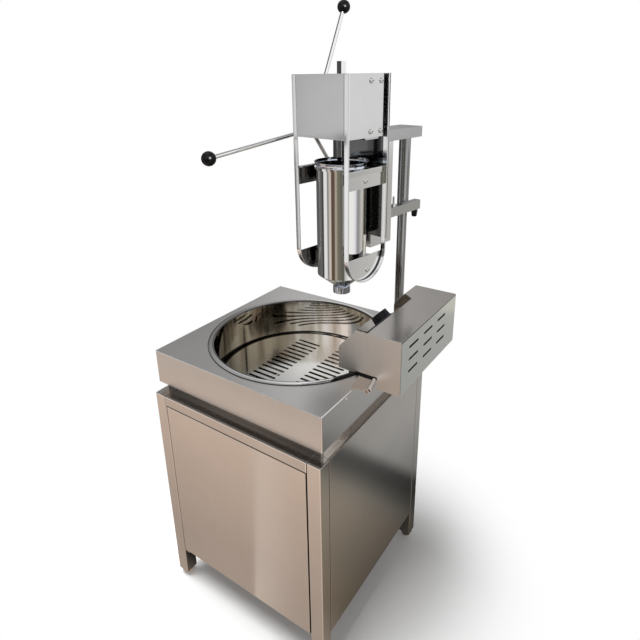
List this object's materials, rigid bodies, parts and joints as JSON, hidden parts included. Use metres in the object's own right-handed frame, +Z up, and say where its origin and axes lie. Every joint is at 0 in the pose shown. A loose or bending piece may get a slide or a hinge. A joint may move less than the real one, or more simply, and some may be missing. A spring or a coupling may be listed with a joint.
{
  "type": "churro machine",
  "caption": "Free-standing churro machine: round electric fryer on a cabinet, with a swinging rack-and-pinion dough press driven by a spoked capstan.",
  "frame": {"origin": "on the floor under the middle of the whole outline", "axes": "+Z up, -Y is the front with the door, +X is the side with the control head"},
  "size_m": [0.7, 0.7014, 1.8157],
  "materials": {
    "satin_steel": "satin, brushed",
    "polished_steel": "mirror polished",
    "cast_metal": "satin",
    "brass": "satin",
    "black_plastic": "gloss",
    "white_plastic": "matte",
    "grey_plastic": "matte",
    "lamp_lens": "gloss",
    "rubber": "matte"
  },
  "bodies": {
    "base": {"leg_tubes": "satin_steel", "feet": "grey_plastic", "front_rail": "satin_steel", "side_panels": "satin_steel", "back_panel": "satin_steel", "bottom_shelf": "satin_steel", "door_hinges": "satin_steel", "touch_latch": "black_plastic", "neck_frame": "satin_steel", "deck": "satin_steel", "tank": "polished_steel", "drain_stub": "satin_steel", "drain_valve": "brass", "heating_elements": "satin_steel", "thermostat_bulb": "satin_steel", "head_body": "satin_steel", "head_cover": "satin_steel", "vent_panel": "satin_steel", "hook_brackets": "polished_steel", "thermostat_body": "black_plastic", "terminal_block": "black_plastic", "pilot_lamps": "lamp_lens", "cable_gland": "black_plastic", "post": "polished_steel", "post_cap": "black_plastic", "post_brackets": "cast_metal"},
    "door": {"door": "satin_steel"},
    "valve_lever": {"valve_lever": "satin_steel"},
    "grate": {"grate": "satin_steel"},
    "thermostat_knob": {"thermostat_knob": "black_plastic"},
    "swing_frame": {"sleeve": "satin_steel", "upper_arm": "satin_steel", "lower_arm": "satin_steel", "column": "satin_steel", "back_plate": "satin_steel", "frame_hoops": "satin_steel", "side_plates": "satin_steel", "front_cover": "satin_steel", "top_plate": "satin_steel", "rack_guide": "white_plastic", "backing_bar": "white_plastic", "bearing_blocks": "brass", "rim_brackets": "satin_steel", "saddles": "satin_steel", "moon_plates": "satin_steel", "frame_bolts": "polished_steel", "cylinder": "polished_steel"},
    "lock_knob": {"lock_knob": "black_plastic"},
    "capstan": {"pinion": "satin_steel", "shaft": "satin_steel", "spokes": "satin_steel", "hub": "cast_metal", "ball_knobs": "black_plastic"},
    "ram": {"rack": "satin_steel", "piston": "polished_steel", "piston_seal": "rubber", "piston_nut": "satin_steel"},
    "nozzle": {"nozzle_nut": "polished_steel", "star_die": "white_plastic"}
  },
  "joints": [
    {"name": "door_hinge", "type": "hinge", "parent": "base", "child": "door", "pos_m": [-0.286, -0.34373, 0.4], "axis": [0, 0, -1], "range_deg": [0, 100]},
    {"name": "valve_turn", "type": "hinge", "parent": "base", "child": "valve_lever", "pos_m": [-0.102, -0.15773, 0.6075], "axis": [0, 1, 0], "range_deg": [0, 90]},
    {"name": "grate_lift", "type": "slide", "parent": "base", "child": "grate", "axis": [0, 0, 1], "range_m": [0, 0.2]},
    {"name": "thermostat_turn", "type": "hinge", "parent": "base", "child": "thermostat_knob", "pos_m": [0.208, 0.06627, 0.937], "axis": [0.715, 0, -0.6991], "range_deg": [0, 270]},
    {"name": "press_swing", "type": "hinge", "parent": "base", "child": "swing_frame", "pos_m": [0.13621, 0.31209, 0], "axis": [0, 0, 1], "range_deg": [-60, 60]},
    {"name": "lock_turn", "type": "hinge", "parent": "swing_frame", "child": "lock_knob", "pos_m": [0.16743, 0.33407, 1.209], "axis": [0, 0, 1], "range_deg": [0, 360]},
    {"name": "capstan_turn", "type": "hinge", "parent": "swing_frame", "child": "capstan", "pos_m": [0.09088, 0.051, 1.47], "axis": [-0.9853, 0.1711, 0], "range_deg": [0, 1034.51]},
    {"name": "ram_slide", "type": "slide", "parent": "swing_frame", "child": "ram", "axis": [0, 0, 1], "range_m": [0, 0.3255]},
    {"name": "nozzle_turn", "type": "hinge", "parent": "swing_frame", "child": "nozzle", "pos_m": [0.0866, 0.02637, 1.015], "axis": [0, 0, -1], "range_deg": [0, 360]}
  ],
  "couplings": [
    {"joint": "ram_slide", "follows": "capstan_turn", "m_per_rad": 0.018}
  ]
}
